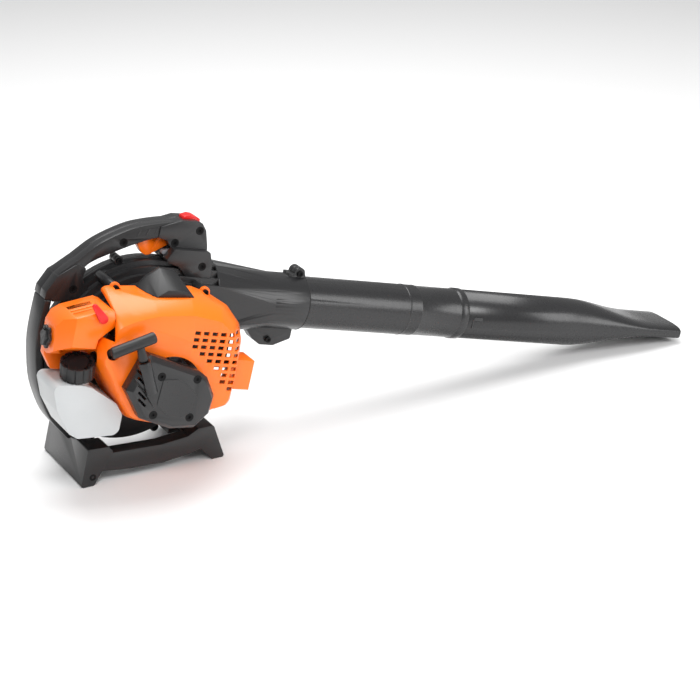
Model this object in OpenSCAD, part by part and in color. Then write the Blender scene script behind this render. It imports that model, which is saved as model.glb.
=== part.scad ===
// Hand-held petrol leaf blower: fan case, two-stroke engine, handle, stand and blowing tubes.
// World frame: X forward along the tubes, Y to the machine's left, Z up, ground at z = 0.
// The power head is drawn in its own frame (u forward, y left, v up, origin on the crank axis)
// and is pitched nose-down over the stand by head().

/* [Stand] */
// Length from the rear foot's ground strip to the front foot's ground strip
stand_len = 185; // [170:1:200]
// Overall width of the feet
stand_w = 132; // [120:1:160]
// Width of the ground strip under each foot
foot_strip = 18; // [12:1:24]
// Height of the crank axis above the ground
crank_z = 137; // [132:1:165]
// Nose-down pitch of the power head and tubes
pitch = 14.5; // [10:0.5:15]

/* [Fan case] */
// Outside width of the fan case
case_w = 76; // [70:1:92]
// Wall thickness of the fan case and duct
case_wall = 2.5; // [2:0.1:3.5]
// Scroll radius at the tongue
scroll_start = 92; // [90:1:96]
// Scroll radius at the top
scroll_end = 136; // [133:1:138]
// Radius of the air inlet on the far side
inlet_r = 48; // [40:1:54]
// Radius of the impeller
impeller_r = 77; // [66:1:78]
// Height of the duct axis above the crank axis
duct_v = 90; // [88:1:94]
// Distance of the duct mouth from the crank axis
duct_end = 231; // [222:1:280]

/* [Tubes] */
// Outside radius of the duct collar
collar_r = 38; // [37.5:0.1:40]
// Outside radius of the round tubes
tube_r = 34.5; // [32:0.1:35]
// Wall thickness of the tubes
tube_wall = 2; // [1.6:0.1:2.4]
// Exposed length of the straight tube
tube_len = 260; // [210:5:320]
// Exposed length of the nozzle
nozzle_len = 374; // [310:5:380]
// Width of the nozzle mouth
mouth_w = 88; // [76:1:110]
// Height of the nozzle mouth
mouth_h = 20; // [16:1:25]

/* [Handle] */
// Width of the handle
handle_w = 36; // [32:1:38]
// Wall thickness of the handle shells
handle_wall = 2.8; // [2.2:0.1:3.2]
// Thickness of the rear band
band_t = 11; // [9:0.5:12]

/* [Engine] */
// Cylinder bore radius
bore_r = 17; // [15:0.5:18]
// Half the piston stroke
half_stroke = 14; // [12:0.5:15]
// Radius of the crankshaft journals
journal_r = 6; // [5:0.5:7]
// Depth of the engine shroud beyond the fan case
shroud_reach = 92; // [90:1:110]
// Depth of the starter cover
starter_d = 22; // [20:1:27]
// Wall thickness of the shroud and covers
shroud_wall = 2.5; // [2:0.1:3]

/* [Fuel tank] */
// Depth of the tank across the machine
tank_d = 60; // [50:1:62]
// Wall thickness of the tank
tank_wall = 2.5; // [2:0.1:3]
// Radius of the fuel cap
cap_r = 22; // [19:0.5:24]

/* [Hidden] */
$fn = 64;

ORANGE = [1.0, 0.47, 0.12];
DARK = [0.24, 0.24, 0.25];
BLACK = [0.12, 0.12, 0.12];
METAL = [0.7, 0.71, 0.73];
RED = [0.92, 0.12, 0.1];
MILK = [0.86, 0.87, 0.87];

gap = 0.4;            // air between pieces that pass each other
fit = 0.05;           // radial clearance of a running fit
screw_r = 2.2;        // shank of the housing screws
head_r = 4;           // head of the housing screws
head_h = 3;           // height of a screw head
crank_x = 94;         // crank axis ahead of the rear foot's ground strip

// half width of each band of the fan case, and how far it steps in from the scroll
BANDS = [[case_w / 2 - 23, 0], [case_w / 2 - 14, 6], [case_w / 2 - 7, 14], [case_w / 2, 22]];
hub_r = impeller_r + 7;                     // the stepped bands never come closer to the shaft
flange = 2;                                 // height of the seam flange
near_y = -case_w / 2;                       // engine side of the fan case
far_y = case_w / 2;                         // intake side of the fan case
engine_y = near_y - 30;                     // plane of the cylinder bore
lug_y = near_y - 22;                        // far edge of the shroud
face_y = near_y - shroud_reach;             // near face of the shroud
cover_y = face_y - starter_d;               // near face of the starter cover
pull_y = cover_y + 2;                       // plane of the starter rope
handle_half_w = handle_w / 2;               // half width of the handle's tower and landing
bar_half_w = handle_half_w - 3;             // half width of the grip bar
cheek_half_w = BANDS[2][0];                 // half width of the tower's foot
tube_start = duct_end - 36;                 // inner end of the straight tube
joint_u = duct_end + tube_len;              // joint between tube and nozzle
mouth_u = joint_u + nozzle_len;             // nozzle mouth
mouth_rise = 6;                             // mouth centre above the duct axis
tongue = 35;                                // body angle of the scroll's tongue
scroll_span = tongue + 270;                 // scroll angle from the tongue to the top
pull_lean = 25;                             // rope leans back from the head's vertical
rope_r = 24;                                // radius at which the rope winds
ring_u = -53;                               // rope eyelet
ring_v = 44;
cap_lean = 13;                              // fuel cap leans outwards from the vertical
neck = [-112, near_y - 60, -5];              // foot of the filler neck in the head frame
cap_base = 11;                              // the cap's rim above the foot of the neck
trigger_pivot = [9, 172];
lock_pivot = [26, 149];
switch_pivot = [46.5, 190];
choke_pivot = [-104, 86];

// ---------- frames and small helpers ----------

module head() translate([crank_x, 0, crank_z]) rotate([0, pitch, 0]) children();

// a (u, v) outline as a slab from y0 to y1
module slab(y0, y1) translate([0, y1, 0]) rotate([90, 0, 0]) linear_extrude(y1 - y0) children();

module rod_y(u, v, y0, y1, r) translate([u, y1, v]) rotate([90, 0, 0]) cylinder(h = y1 - y0, r = r);
module rod_u(u0, u1, y, v, r) translate([u0, y, v]) rotate([0, 90, 0]) cylinder(h = u1 - u0, r = r);
module rod_v(u, y, v0, v1, r) translate([u, y, v0]) cylinder(h = v1 - v0, r = r);
module ring_y(u, v, y0, y1, r, hole) difference() {
    rod_y(u, v, y0, y1, r);
    rod_y(u, v, y0 - 1, y1 + 1, hole);
}
module block(u0, u1, y0, y1, v0, v1) translate([u0, y0, v0]) cube([u1 - u0, y1 - y0, v1 - v0]);
module rounded(r) offset(r) offset(-r) children();
module soft_rect(u0, u1, v0, v1, r) rounded(r) translate([u0, v0]) square([u1 - u0, v1 - v0]);

// smooth curve through points, with steps pieces between neighbours
function curve(p, steps = 4) = [for (i = [0:len(p) - 2], k = [0:steps - 1])
    let (t = k / steps, a = p[max(0, i - 1)], b = p[i], c = p[i + 1], d = p[min(len(p) - 1, i + 2)])
    0.5 * (2 * b + (c - a) * t + (2 * a - 5 * b + 4 * c - d) * t * t + (3 * b - a - 3 * c + d) * t * t * t),
    p[len(p) - 1]];

// a housing screw along Y, its head at y and its shank towards +Y
module screw_y(u, v, y, length) {
    difference() {
        rod_y(u, v, y, y + head_h, head_r);
        rod_y(u, v, y - 1, y + head_h / 2, head_r / 2);
    }
    rod_y(u, v, y + head_h, y + length, screw_r);
}

// a closed tube of rings: each ring is a list of points, and the last ring meets the first
module ring_loop(rings) {
    n = len(rings[0]);
    m = len(rings);
    polyhedron(
        points = [for (ring = rings, p = ring) p],
        faces = [for (i = [0:m - 1], j = [0:n - 1])
            let (a = i * n + j, b = i * n + (j + 1) % n, c = ((i + 1) % m) * n + j,
                 d = ((i + 1) % m) * n + (j + 1) % n)
            each [[a, b, d], [a, d, c]]]
    );
}

// ---------- fan case ----------

DUCT_NECK = 92;                             // where the scroll hands over to the duct
NECK_LOW = 47;
function scroll_r(a) = scroll_start + (scroll_end - scroll_start) * a / scroll_span;
function scroll_point(a, grow) = (scroll_r(a) + grow) * [cos(tongue - a), sin(tongue - a)];

module scroll(grow) polygon(concat([for (a = [0:5:scroll_span]) scroll_point(a, grow)], [
    [DUCT_NECK, scroll_end + grow],
    [DUCT_NECK, NECK_LOW - grow]
]));

// scroll in bands that step in towards both sides
module banded_scroll(grow) for (b = BANDS) slab(-b[0] - grow, b[0] + grow) {
    scroll(grow - b[1]);
    circle(r = hub_r + grow);
}

ROUND_U = 180;                              // the duct is round from here on
// square duct that turns round at the collar
module duct(grow) {
    half = collar_r + grow;
    hull() {
        translate([DUCT_NECK - 2, 0, 0]) rotate([90, 0, 90]) linear_extrude(1) offset(delta = grow)
            polygon(concat([for (b = BANDS) [b[0], scroll_end - b[1]]], [[case_w / 2, NECK_LOW + 10],
                [case_w / 2 - 10, NECK_LOW], [10 - case_w / 2, NECK_LOW], [-case_w / 2, NECK_LOW + 10]],
                [for (i = [len(BANDS) - 1:-1:0]) [-BANDS[i][0], scroll_end - BANDS[i][1]]]));
        translate([ROUND_U, 0, duct_v]) rotate([0, 90, 0]) cylinder(h = 1, r = half, $fn = 48);
    }
}

module case_outer() {
    banded_scroll(0);
    duct(0);
    rod_u(ROUND_U, duct_end, 0, duct_v, collar_r);
}

module case_inner() {
    banded_scroll(-case_wall);
    duct(-case_wall);
    rod_u(ROUND_U, duct_end + 1, 0, duct_v, collar_r - case_wall);
}

SHROUD_LUGS = [[-69, 110], [57, 113]];
CLAMP = [duct_end - 9, duct_v + collar_r + 4];   // clamp ear over the collar
UNDER_LUG = [[161, 56], [163, 46], [172, 36], [184, 29], [205, 29], [220, 36], [229, 40], [229, 56]];
CASE_BOSS = 6;
CASE_JOINTS = concat([for (a = [48, 95, 142, 286]) scroll_point(a, 4)], [[195, 37]]);

// outline of the clamp ear and the lugs that hold the two halves together
module case_lugs() {
    translate(CLAMP) circle(r = 8);
    translate([CLAMP[0] - 16, duct_v + collar_r - 6]) square([25, 9]);
    rounded(4) polygon(UNDER_LUG);
    for (p = CASE_JOINTS) translate(p) circle(r = CASE_BOSS);
}

module case_half(side) {
    y0 = side < 0 ? near_y - 1 : 0;
    difference() {
        union() {
            intersection() {
                case_outer();
                block(-200, duct_end + 5, y0, y0 + case_w / 2 + 1, -200, 200);
            }
            slab(side < 0 ? -4 : 0, side < 0 ? 0 : 4) difference() {
                scroll(flange);
                scroll(-case_wall);
            }
            slab(side < 0 ? -9 : 0, side < 0 ? 0 : 9) case_lugs();
        }
        case_inner();
        for (p = concat(CASE_JOINTS, [CLAMP])) rod_y(p[0], p[1], -20, 20, screw_r + 0.1);
    }
}

module fan_case_near() color(DARK) head() difference() {
    union() {
        case_half(-1);
        rod_y(SHROUD_LUGS[0][0], SHROUD_LUGS[0][1], lug_y, -BANDS[0][0] + 3, 6);
        rod_y(SHROUD_LUGS[1][0], SHROUD_LUGS[1][1], lug_y, near_y + case_wall, 6);
        ring_y(0, 0, near_y - 1.5, near_y + 1, 70, 66);
    }
    rod_y(0, 0, near_y - 5, near_y + 5, 24);
    for (a = [45:90:315]) rod_y(36 * cos(a), 36 * sin(a), near_y - 5, near_y + 5, 2.6);
    for (p = SHROUD_LUGS) rod_y(p[0], p[1], lug_y - 1, lug_y + 10, screw_r + fit);
}

module fan_case_far() color(DARK) head() difference() {
    union() {
        case_half(1);
        ring_y(0, 0, far_y - 12, far_y, inlet_r + case_wall, inlet_r);
    }
    rod_y(0, 0, far_y - 14, far_y + 5, inlet_r);
    for (a = GUARD_ANGLES) rod_y(GUARD_PCD * cos(a), GUARD_PCD * sin(a), far_y - 6, far_y + 1, screw_r);
}

module case_screws() color(METAL) head() for (p = CASE_JOINTS)
    screw_y(p[0], p[1], -9 - head_h, 20);

module duct_clamp_screw() color(METAL) head() {
    screw_y(CLAMP[0], CLAMP[1], -9 - head_h, 24);
    difference() {
        rod_y(CLAMP[0], CLAMP[1], 9, 13, 4.2);
        rod_y(CLAMP[0], CLAMP[1], 8, 14, screw_r);
    }
}

GUARD_ANGLES = [30, 150, 270];
GUARD_PCD = 62;
GUARD_DEPTH = 10;

module intake_guard() color(DARK) head() difference() {
    union() {
        ring_y(0, 0, far_y, far_y + 3, 69, 54);
        ring_y(0, 0, far_y, far_y + GUARD_DEPTH, 57, 54);
        for (r = [12:11:45]) ring_y(0, 0, far_y + GUARD_DEPTH - 3, far_y + GUARD_DEPTH, r + 2, r - 2);
        for (a = [0:30:330]) rotate([0, -a, 0])
            block(8, 55.5, far_y + GUARD_DEPTH - 3, far_y + GUARD_DEPTH, -1.4, 1.4);
        rod_y(0, 0, far_y + GUARD_DEPTH - 3, far_y + GUARD_DEPTH, 11);
    }
    for (a = GUARD_ANGLES) rod_y(GUARD_PCD * cos(a), GUARD_PCD * sin(a), far_y - 1, far_y + 4, screw_r + 0.1);
}

module guard_screws() color(METAL) head() for (a = GUARD_ANGLES)
    translate([GUARD_PCD * cos(a), 0, GUARD_PCD * sin(a)]) mirror([0, 1, 0])
        screw_y(0, 0, -far_y - 3 - head_h, 9);

IMPELLER_BLADES = 12;
module impeller() color(BLACK) head() difference() {
    union() {
        rod_y(0, 0, near_y + 6, near_y + 8.5, impeller_r);
        rod_y(0, 0, near_y + 6, far_y - 18, 15);
        ring_y(0, 0, far_y - 22, far_y - 19.5, impeller_r - 6, inlet_r - 4);
        for (i = [0:IMPELLER_BLADES - 1]) rotate([0, i * 360 / IMPELLER_BLADES, 0])
            slab(near_y + 7, far_y - 20) translate([13, 0]) intersection() {
                translate([0, 46]) difference() {
                    circle(r = 59);
                    circle(r = 56.8);
                }
                translate([14, -20]) square([impeller_r - 29, 46]);
            }
        for (i = [0:IMPELLER_BLADES / 2 - 1]) rotate([0, i * 720 / IMPELLER_BLADES, 0])
            block(12, 34, near_y + 7, near_y + 20, -1.2, 1.2);
    }
    rod_y(0, 0, near_y, far_y, journal_r);
}

module impeller_nut() color(METAL) head() difference() {
    translate([0, far_y - 18 + 6, 0]) rotate([90, 0, 0]) cylinder(h = 6, r = 8, $fn = 6);
    rod_y(0, 0, far_y - 20, far_y, journal_r + 0.02);
}

// ---------- tubes ----------

BEAD_U = duct_end + 0.7 * tube_len;
SPIGOT = 26;                                // overlap of the nozzle inside the straight tube

module straight_tube() color(DARK) head() translate([0, 0, duct_v]) rotate([90, 0, 90]) rotate_extrude()
    polygon([
        [tube_r - tube_wall, tube_start], [collar_r - case_wall - 0.1, tube_start],
        [collar_r - case_wall - 0.1, duct_end + 1], [tube_r + 0.6, duct_end + 2],
        [tube_r + 0.6, BEAD_U - 2], [tube_r + 1, BEAD_U], [tube_r, BEAD_U + 2],
        [tube_r, joint_u - 12], [tube_r + 1.4, joint_u - 10], [tube_r + 1.4, joint_u],
        [tube_r - tube_wall, joint_u]
    ]);

// stations of the nozzle: distance along, half width, half height, rise, squareness
function blend(a, b, t) = a + (b - a) * (3 - 2 * t) * t * t;
RING_STEPS = 36;
ROUND_LEN = 190;                            // the nozzle stays round this far
function flat(u) = max(0, min(1, (u - ROUND_LEN) / (nozzle_len - ROUND_LEN - 45)));
function nozzle_ring(u, wall) = [for (i = [0:RING_STEPS - 1])
    let (a = 360 * i / RING_STEPS, t = flat(u),
         half_w = blend(tube_r, mouth_w / 2, t) - wall,
         half_h = blend(tube_r, mouth_h / 2, t) - wall,
         power = blend(1, 0.55, t),
         ca = cos(a), sa = sin(a))
    [joint_u + u,
     half_w * sign(ca) * pow(abs(ca), power),
     duct_v + blend(0, mouth_rise, t) + half_h * sign(sa) * pow(abs(sa), power)]];

NOZZLE_STATIONS = concat([1.5, 100], [for (u = [ROUND_LEN:16:nozzle_len - 30]) u], [nozzle_len]);
module nozzle() color(DARK) head() {
    n = len(NOZZLE_STATIONS);
    step_in = tube_wall + fit;              // the spigot slides into the straight tube
    ring_loop(concat(
        [nozzle_ring(-SPIGOT, step_in), nozzle_ring(1, step_in)],
        [for (i = [0:n - 1]) nozzle_ring(NOZZLE_STATIONS[i], 0)],
        [for (i = [n - 1:-1:1]) nozzle_ring(NOZZLE_STATIONS[i], tube_wall)],
        [nozzle_ring(6, tube_wall), nozzle_ring(2, 2 * tube_wall), nozzle_ring(-SPIGOT, 2 * tube_wall)]
    ));
}

// ---------- handle ----------

// side profiles of the grip bar, the rear landing and the tower
BAR = concat(
    curve([[-136, 88], [-126, 107], [-103, 128], [-77, 152], [-41, 173], [-14, 182], [16, 188], [40, 191]]),
    [[40, 172]],
    curve([[7, 167], [-5, 165], [-30, 155], [-55, 143], [-83, 128], [-94, 117], [-98, 104]]));
LANDING = [[-140, 70], [-113, 74], [-95, 77], [-77, 86], [-89, 98], [-94, 106], [-91, 119], [-104, 123],
    [-128, 105], [-139, 84]];
TOWER = [[0, 181], [28, 192], [50, 193], [58, 191], [65, 182], [71, 162], [73, 150], [22, 152], [13, 164], [0, 167]];
CHEEKS = [[20, 157], [71, 157], [77, 139], [78, 119], [55, 119], [44, 121], [30, 134], [12, 139], [12, 143]];

// solid handle, grown inwards by a negative amount
module handle_body(grow) {
    slab(-bar_half_w - grow, bar_half_w + grow) offset(grow) rounded(3) polygon(BAR);
    slab(-handle_half_w - grow, handle_half_w + grow) offset(grow) rounded(3) polygon(LANDING);
    slab(-handle_half_w - grow, handle_half_w + grow) offset(grow) rounded(3) polygon(TOWER);
    slab(-cheek_half_w - grow, cheek_half_w + grow) offset(grow) rounded(3) polygon(CHEEKS);
}

// screw positions with the depth of the near face at each
HANDLE_SCREWS = [[-104, 90, handle_half_w], [-46, 156, bar_half_w], [24, 162, handle_half_w],
    [56, 181, handle_half_w], [63, 137, cheek_half_w]];

// the shank ends short where a screw goes into the fan case's side
function screw_end(p) = p[2] > handle_half_w ? -BANDS[0][0] - 2 : p[2] - 6;

module handle_half(side) {
    y0 = side < 0 ? -40 : 0;
    y1 = y0 + 40;
    difference() {
        intersection() {
            difference() {
                handle_body(0);
                difference() {
                    handle_body(-handle_wall);
                    for (p = HANDLE_SCREWS) rod_y(p[0], p[1], -40, 40, 4.5);
                    for (y = [-14, 8]) rod_y(trigger_pivot[0], trigger_pivot[1], y, y + 6, 5);
                }
            }
            block(-200, 200, y0, y1, 0, 220);
        }
        for (p = HANDLE_SCREWS) {
            rod_y(p[0], p[1], -40, screw_end(p) + 0.5, screw_r + 0.1);
            if (side < 0) rod_y(p[0], p[1], -40, -p[2] + head_h + 0.8, head_r + 0.3);
        }
        rod_y(trigger_pivot[0], trigger_pivot[1], -12, 12, 2 + 0.02);
        block(-34, 22, -7, 7, 150, 170);
        block(20, 26, -7, 7, 150, 158);
        block(33.5, 59.5, -8, 8, 184, 198);
        rod_y(switch_pivot[0], switch_pivot[1], -11, 11, 1.6);
        if (side < 0) block(8, 33, -16.5, -8.5, 140, 156);
        rod_y(lock_pivot[0], lock_pivot[1], -19, -6, 1.6);
        banded_scroll(gap);
        slab(-4 - gap, 4 + gap) scroll(flange + gap);
        duct(gap);
        rod_y(SHROUD_LUGS[1][0], SHROUD_LUGS[1][1], -40, -20, 6 + gap);
        slab(-handle_half_w - 1, handle_half_w + 1) offset(gap) band_outline();
    }
}

module handle_near() color(DARK) head() handle_half(-1);
module handle_far() color(DARK) head() handle_half(1);
module handle_screws() color(METAL) head() for (p = HANDLE_SCREWS)
    screw_y(p[0], p[1], -p[2] + 0.8, screw_end(p) + p[2] - 0.8);

// curved band from the handle's rear landing down to the rear foot
BAND = curve([[-140, 74], [-141, 37], [-139, 7], [-129, -36], [-117, -62], [-102, -85], [-85, -101], [-68, -114]], 3);
function band_normal(i) = let (
    a = BAND[max(0, i - 1)], b = BAND[min(len(BAND) - 1, i + 1)], d = (b - a) / norm(b - a)
) [-d[1], d[0]];
module band_outline() polygon(concat(BAND, [for (i = [len(BAND) - 1:-1:0]) BAND[i] + band_t * band_normal(i)]));
module rear_band() color(DARK) head() slab(-handle_half_w, handle_half_w) difference() {
    band_outline();
    scroll(flange + gap);
}

module trigger() color(ORANGE) head() slab(-6, 6) difference() {
    union() {
        translate(trigger_pivot) circle(r = 5);
        polygon([[-22, 152], [-20, 156], [5, 171], [14, 168], [19, 155], [-3, 140.5], [-8, 139.5], [-14, 142]]);
    }
    translate(trigger_pivot) circle(r = 2 + fit);
}
module trigger_pin() color(METAL) head() rod_y(trigger_pivot[0], trigger_pivot[1], -12, 12, 2);

module stop_switch() color(RED) head() {
    slab(-7.4, 7.4) polygon([[34.5, 191], [35, 195], [43, 198], [50, 197.5], [58, 194], [58.5, 190], [50, 186], [42, 186]]);
    rod_y(switch_pivot[0], switch_pivot[1], -10.6, 10.6, 1.6 - fit);
}

module throttle_lock() color([0.55, 0.55, 0.57]) head() {
    slab(-16, -9) hull() {
        translate(lock_pivot) circle(r = 3.6);
        translate([12.5, 147.5]) circle(r = 2.8);
    }
    rod_y(lock_pivot[0], lock_pivot[1], -18, -7, 1.6 - fit);
}

// ---------- engine ----------

deck_v = 32;                                // top of the crankcase
cyl_top = 90;                               // top of the cylinder head
case_back = near_y - 4;                     // near side of the mounting flange
case_front = near_y - 56;                   // near end of the crankcase
bearing_r = 16;
bearing_w = 10;
web_r = 24;

module crankcase() color(METAL) head() difference() {
    union() {
        rod_y(0, 0, case_back, near_y - 0.5, 44);
        rod_y(0, 0, case_front, near_y - 2, 31);
        block(-26, 26, engine_y - 22, engine_y + 22, 6, deck_v);
        block(-44, -12, engine_y - 12, engine_y - 2, -40, -20);
    }
    rod_y(0, 0, engine_y - 13, engine_y + 13, web_r + 3);
    rod_v(0, engine_y, 19, deck_v + 1, bore_r + 1);
    rod_y(0, 0, case_front - 1, case_front + bearing_w, bearing_r + 0.02);
    rod_y(0, 0, near_y - 12, near_y + 1, bearing_r + 0.02);
    rod_y(0, 0, case_front, near_y, journal_r + 1);
    for (a = [45:90:315]) rod_y(36 * cos(a), 36 * sin(a), case_back - 1, near_y, 2.6);
}

module crankcase_gasket() color(BLACK) head() difference() {
    rod_y(0, 0, near_y - 0.5, near_y, 44);
    rod_y(0, 0, near_y - 1, near_y + 1, 25);
    for (a = [45:90:315]) rod_y(36 * cos(a), 36 * sin(a), near_y - 1, near_y + 1, 2.6);
}

module engine_bolts() color(METAL) head() for (a = [45:90:315]) {
    rod_y(36 * cos(a), 36 * sin(a), case_back, near_y + case_wall, 2.5);
    rod_y(36 * cos(a), 36 * sin(a), near_y + case_wall, near_y + case_wall + 2.5, 4.5);
    ring_y(36 * cos(a), 36 * sin(a), case_back - 4, case_back, 4.5, 2.5);
}

module bearing_near() color(METAL) head()
    ring_y(0, 0, case_front, case_front + bearing_w, bearing_r, journal_r + fit);
module bearing_far() color(METAL) head()
    ring_y(0, 0, near_y - 12, near_y - 2, bearing_r, journal_r + fit);

fly_y = case_front - 4;                     // far face of the flywheel
fly_r = 42;
module crankshaft() color(METAL) head() {
    rod_y(0, 0, fly_y - 24, far_y - 12, journal_r - 0);
    rod_y(0, 0, engine_y - 8, engine_y + 8, web_r);
}

module flywheel() color(METAL) head() difference() {
    union() {
        rod_y(0, 0, fly_y - 8, fly_y, fly_r);
        rod_y(0, 0, fly_y - 18, fly_y, 13);
        for (a = [0:30:330]) rotate([0, a, 0]) block(16, fly_r - 2, fly_y - 17, fly_y - 7, -1.3, 1.3);
    }
    rod_y(0, 0, fly_y - 30, fly_y + 1, journal_r);
}
module flywheel_nut() color(METAL) head() difference() {
    translate([0, fly_y - 18, 0]) rotate([90, 0, 0]) cylinder(h = 6, r = 9, $fn = 6);
    rod_y(0, 0, fly_y - 30, fly_y, journal_r);
}

fin_w = 29;                                 // half length of the cooling fins
module cylinder_body() difference() {
    union() {
        rod_v(0, engine_y, deck_v, cyl_top, bore_r + 5);
        for (v = [deck_v + 6:6:cyl_top - 2])
            translate([0, engine_y, v]) linear_extrude(1.8) soft_rect(-fin_w, fin_w, -23, 23, 6);
        block(-26, 26, engine_y - 23, engine_y + 23, deck_v, deck_v + 4);
        block(fin_w - 8, fin_w + 1, engine_y - 15, engine_y + 15, 44, 70);
        block(-fin_w - 1, -fin_w + 8, engine_y - 15, engine_y + 15, 40, 66);
        rod_v(0, plug_y, cyl_top - 1, cyl_top + 5, 10);
    }
    rod_v(0, engine_y, deck_v - 1, cyl_top - 4, bore_r);
    rod_v(0, plug_y, cyl_top - 5, cyl_top + 6, 5);
    rod_u(0, fin_w + 2, engine_y, 57, 9);
    rod_u(-fin_w - 2, 0, engine_y, 53, 8);
}
module cylinder_node() color(METAL) head() cylinder_body();

piston_v = 46;                              // crown skirt bottom at mid stroke
piston_h = 24;
module piston() color(METAL) head() difference() {
    rod_v(0, engine_y, piston_v, piston_v + piston_h, bore_r - fit);
    rod_v(0, engine_y, piston_v - 1, piston_v + piston_h - 5, bore_r - 4);
    for (v = PISTON_RINGS) translate([0, engine_y, piston_v + v]) difference() {
        cylinder(h = 1.5, r = bore_r + 1);
        translate([0, 0, -1]) cylinder(h = 4, r = bore_r - 1.5);
    }
}
PISTON_RINGS = [16, 20];
module piston_rings() color(METAL) head() for (v = PISTON_RINGS)
    translate([0, engine_y, piston_v + v]) difference() {
        cylinder(h = 1.5, r = bore_r - fit);
        translate([0, 0, -1]) cylinder(h = 4, r = bore_r - 1.5);
    }

module ignition_coil() color(BLACK) head() {
    block(-16, 16, fly_y - 9, fly_y - 1, 46, 62);
    block(-26, -18.5, fly_y - 7, fly_y - 1, 40, 62);
    block(18.5, 26, fly_y - 7, fly_y - 1, 40, 62);
    block(-26, 26, fly_y - 7, fly_y - 1, 62, 67);
}

plug_y = engine_y - 4;
module spark_plug() color([0.93, 0.93, 0.9]) head() {
    rod_v(0, plug_y, cyl_top - 3, cyl_top + 5, 5 - fit);
    translate([0, plug_y, cyl_top + 5]) cylinder(h = 5, r = 8, $fn = 6);
    rod_v(0, plug_y, cyl_top + 10, cyl_top + 24, 4.5);
}
module plug_boot() color(BLACK) head() difference() {
    union() {
        rod_v(0, plug_y, cyl_top + 13, cyl_top + 31, 7);
        rod_u(-18, -2, plug_y, cyl_top + 27.5, 3);
    }
    rod_v(0, plug_y, cyl_top + 12, cyl_top + 24, 4.5);
}

// black cover over the spark plug, louvred at the back
CAP_SIDE = [[-46, 108], [-30, 128], [-14, 141], [8, 138], [22, 122], [27, 108]];
CAP_FRONT = [[-42, 100], [-27, 114], [-14, 123], [10, 123], [26, 114], [29, 100]];
CAP_FAR = lug_y;
CAP_NEAR = lug_y - 42;
cap_wall = 2.5;
module cap_shape(grow) hull() {
    slab(CAP_FAR - 6 - grow, CAP_FAR + grow) offset(delta = grow) polygon(CAP_SIDE);
    slab(CAP_NEAR - grow, CAP_NEAR + 4) offset(delta = grow) polygon(CAP_FRONT);
}
module plug_cap() color(BLACK) head() difference() {
    cap_shape(0);
    cap_shape(-cap_wall);
    shroud_shape(gap);
    block(-70, 70, CAP_NEAR - 9, CAP_FAR + 9, 60, shroud_top - 6);
    for (i = [0:2]) translate([-33 + 7 * i, 0, 127 + 5.5 * i]) rotate([0, -42, 0])
        block(-1, 14, CAP_NEAR + 12, CAP_FAR - 8, -1.3, 1.3);
}

module exhaust_gasket() color(METAL) head() difference() {
    block(fin_w + 1, fin_w + 2.5, engine_y - 14, engine_y + 14, 45, 69);
    rod_u(fin_w, fin_w + 4, engine_y, 57, 9);
}
MUFFLER = [[fin_w + 2.5, 24], [84, 24], [90, 34], [90, 70], [80, 80], [fin_w + 2.5, 80]];
module muffler() color(METAL) head() difference() {
    union() {
        slab(engine_y - 28, engine_y + 4) rounded(5) polygon(MUFFLER);
        rod_u(80, 118, engine_y - 14, 26, 7);
        rod_v(84, engine_y - 14, 24, 32, 7);
    }
    slab(engine_y - 26.5, engine_y + 2.5) offset(-1.5) rounded(5) polygon(MUFFLER);
    rod_u(fin_w, fin_w + 6, engine_y - 6, 57, 6);
    rod_u(82, 119, engine_y - 14, 26, 5.5);
}

module intake_spacer() color(BLACK) head() difference() {
    block(-fin_w - 21, -fin_w - 1, engine_y - 15, engine_y + 15, 40, 66);
    rod_u(-fin_w - 22, -fin_w, engine_y, 53, 8);
}
carb_u = -fin_w - 21;                       // front face of the carburettor
module carburettor() color(METAL) head() difference() {
    union() {
        block(carb_u - 26, carb_u, engine_y - 15, engine_y + 15, 39, 67);
        rod_v(carb_u - 13, engine_y + 9, 66, 73, 5);
        rod_v(carb_u - 13, engine_y, 34, 40, 11);
    }
    rod_u(carb_u - 27, carb_u + 1, engine_y, 53, 8);
}
base_u = carb_u - 26;                       // front face of the filter base
primer = [-85, 45];
module primer_bulb() color([0.1, 0.1, 0.1]) head() {
    rod_y(primer[0], primer[1], face_y + 7, face_y + 9, 8.6);
    translate([primer[0], face_y + 7, primer[1]]) difference() {
        sphere(r = 7);
        translate([-10, 0, -10]) cube([20, 20, 20]);
    }
}

cleaner_near = near_y - 80;                 // near face of the air cleaner
cleaner_far = near_y - 22;                  // far face of the air cleaner
CLEANER = [[-151, 24], [-153, 64], [-148, 76], [-138, 83], [-96, 97], [-88, 95], [-85, 76], [-104, 58], [-106, 36],
    [-112, 30]];
SKIRT = [[-151, 34], [-151, 20], [-138, 1], [-118, 1], [-112, 34]];
skirt_near = cleaner_far - 11;
CLEANER_PLAN = [[-154, cleaner_far], [-154, cleaner_near + 24], [-137, cleaner_near], [-60, cleaner_near],
    [-60, cleaner_far]];
CLEANER_END = [[cleaner_near, 46], [cleaner_near + 30, 27], [cleaner_far, 18], [cleaner_far, 110],
    [cleaner_near + 12, 110], [cleaner_near, 88]];
module cleaner_shape(grow) {
    intersection() {
        slab(cleaner_near - grow, cleaner_far + grow) offset(grow) polygon(CLEANER);
        translate([0, 0, -20]) linear_extrude(160) offset(grow) polygon(CLEANER_PLAN);
        translate([-180, 0, 0]) rotate([90, 0, 90]) linear_extrude(140) offset(grow) polygon(CLEANER_END);
    }
    slab(skirt_near - grow, cleaner_far + grow) offset(grow) polygon(SKIRT);
}

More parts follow.
